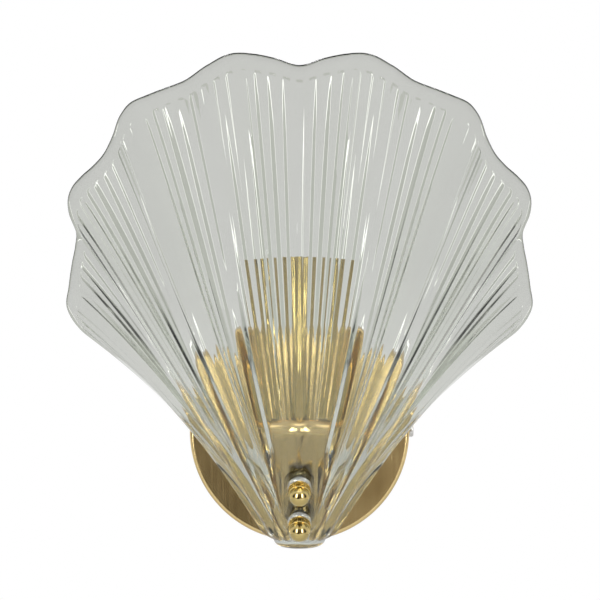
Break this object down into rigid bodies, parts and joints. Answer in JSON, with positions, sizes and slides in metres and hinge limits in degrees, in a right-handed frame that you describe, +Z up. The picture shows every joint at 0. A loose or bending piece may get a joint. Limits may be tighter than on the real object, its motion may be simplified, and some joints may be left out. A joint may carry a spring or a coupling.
{
  "type": "wall sconce",
  "caption": "Wall sconce with a fluted scallop-shell glass held by ball nuts on a bent brass strip, a candle sleeve and a round canopy.",
  "frame": {"origin": "centre of the round canopy on the wall plane", "axes": "+Z up the wall, +Y into the wall, the shell faces -Y"},
  "size_m": [0.2428, 0.1696, 0.2533],
  "materials": {
    "shell_glass": "clear pressed glass with fine flutes",
    "satin_brass": "satin, brushed",
    "polished_brass": "polished",
    "contact_brass": "plain stamped",
    "zinc_steel": "zinc plated",
    "nickel_screw": "nickel plated",
    "black_phenolic": "moulded",
    "white_nylon": "moulded",
    "clear_nylon": "translucent",
    "clear_silicone": "clear soft pad",
    "brown_insulation": "wire insulation",
    "blue_insulation": "wire insulation"
  },
  "bodies": {
    "fixture": {"canopy": "satin_brass", "wall_strap": "zinc_steel", "terminal_block": "white_nylon", "terminal_screws": "zinc_steel", "shell_bracket": "satin_brass", "canopy_nipple": "zinc_steel", "nipple_nut_front": "polished_brass", "tooth_washer": "zinc_steel", "nipple_nut_inner": "zinc_steel", "lampholder_nipple": "zinc_steel", "lampholder_nut": "polished_brass", "sleeve_centring_washer": "zinc_steel", "lampholder_stirrup": "zinc_steel", "lampholder_body": "black_phenolic", "lampholder_screw_shell": "contact_brass", "lampholder_centre_contact": "contact_brass", "candle_sleeve": "polished_brass", "live_lead": "brown_insulation", "neutral_lead": "blue_insulation", "earth_tag": "contact_brass", "earth_screw": "zinc_steel", "glass_cushion": "clear_silicone", "upper_glass_screw": "zinc_steel", "upper_glass_bush": "clear_nylon", "upper_front_washer": "clear_nylon", "lower_glass_screw": "zinc_steel", "lower_glass_bush": "clear_nylon", "lower_front_washer": "clear_nylon", "glass_shell": "shell_glass"},
    "upper_nut": {"upper_ball_nut": "polished_brass"},
    "lower_nut": {"lower_ball_nut": "polished_brass"},
    "side_screw": {"canopy_side_screw": "nickel_screw"}
  },
  "joints": [
    {"name": "upper_nut_turn", "type": "hinge", "parent": "fixture", "child": "upper_nut", "pos_m": [0, -0.06197, -0.02802], "axis": [0, -0.8192, -0.5736], "continuous": true},
    {"name": "lower_nut_turn", "type": "hinge", "parent": "fixture", "child": "lower_nut", "pos_m": [0, -0.04803, -0.04792], "axis": [0, -0.8192, -0.5736], "continuous": true},
    {"name": "side_screw_turn", "type": "hinge", "parent": "fixture", "child": "side_screw", "pos_m": [0.06, -0.011, 0], "axis": [1, 0, 0], "continuous": true}
  ]
}
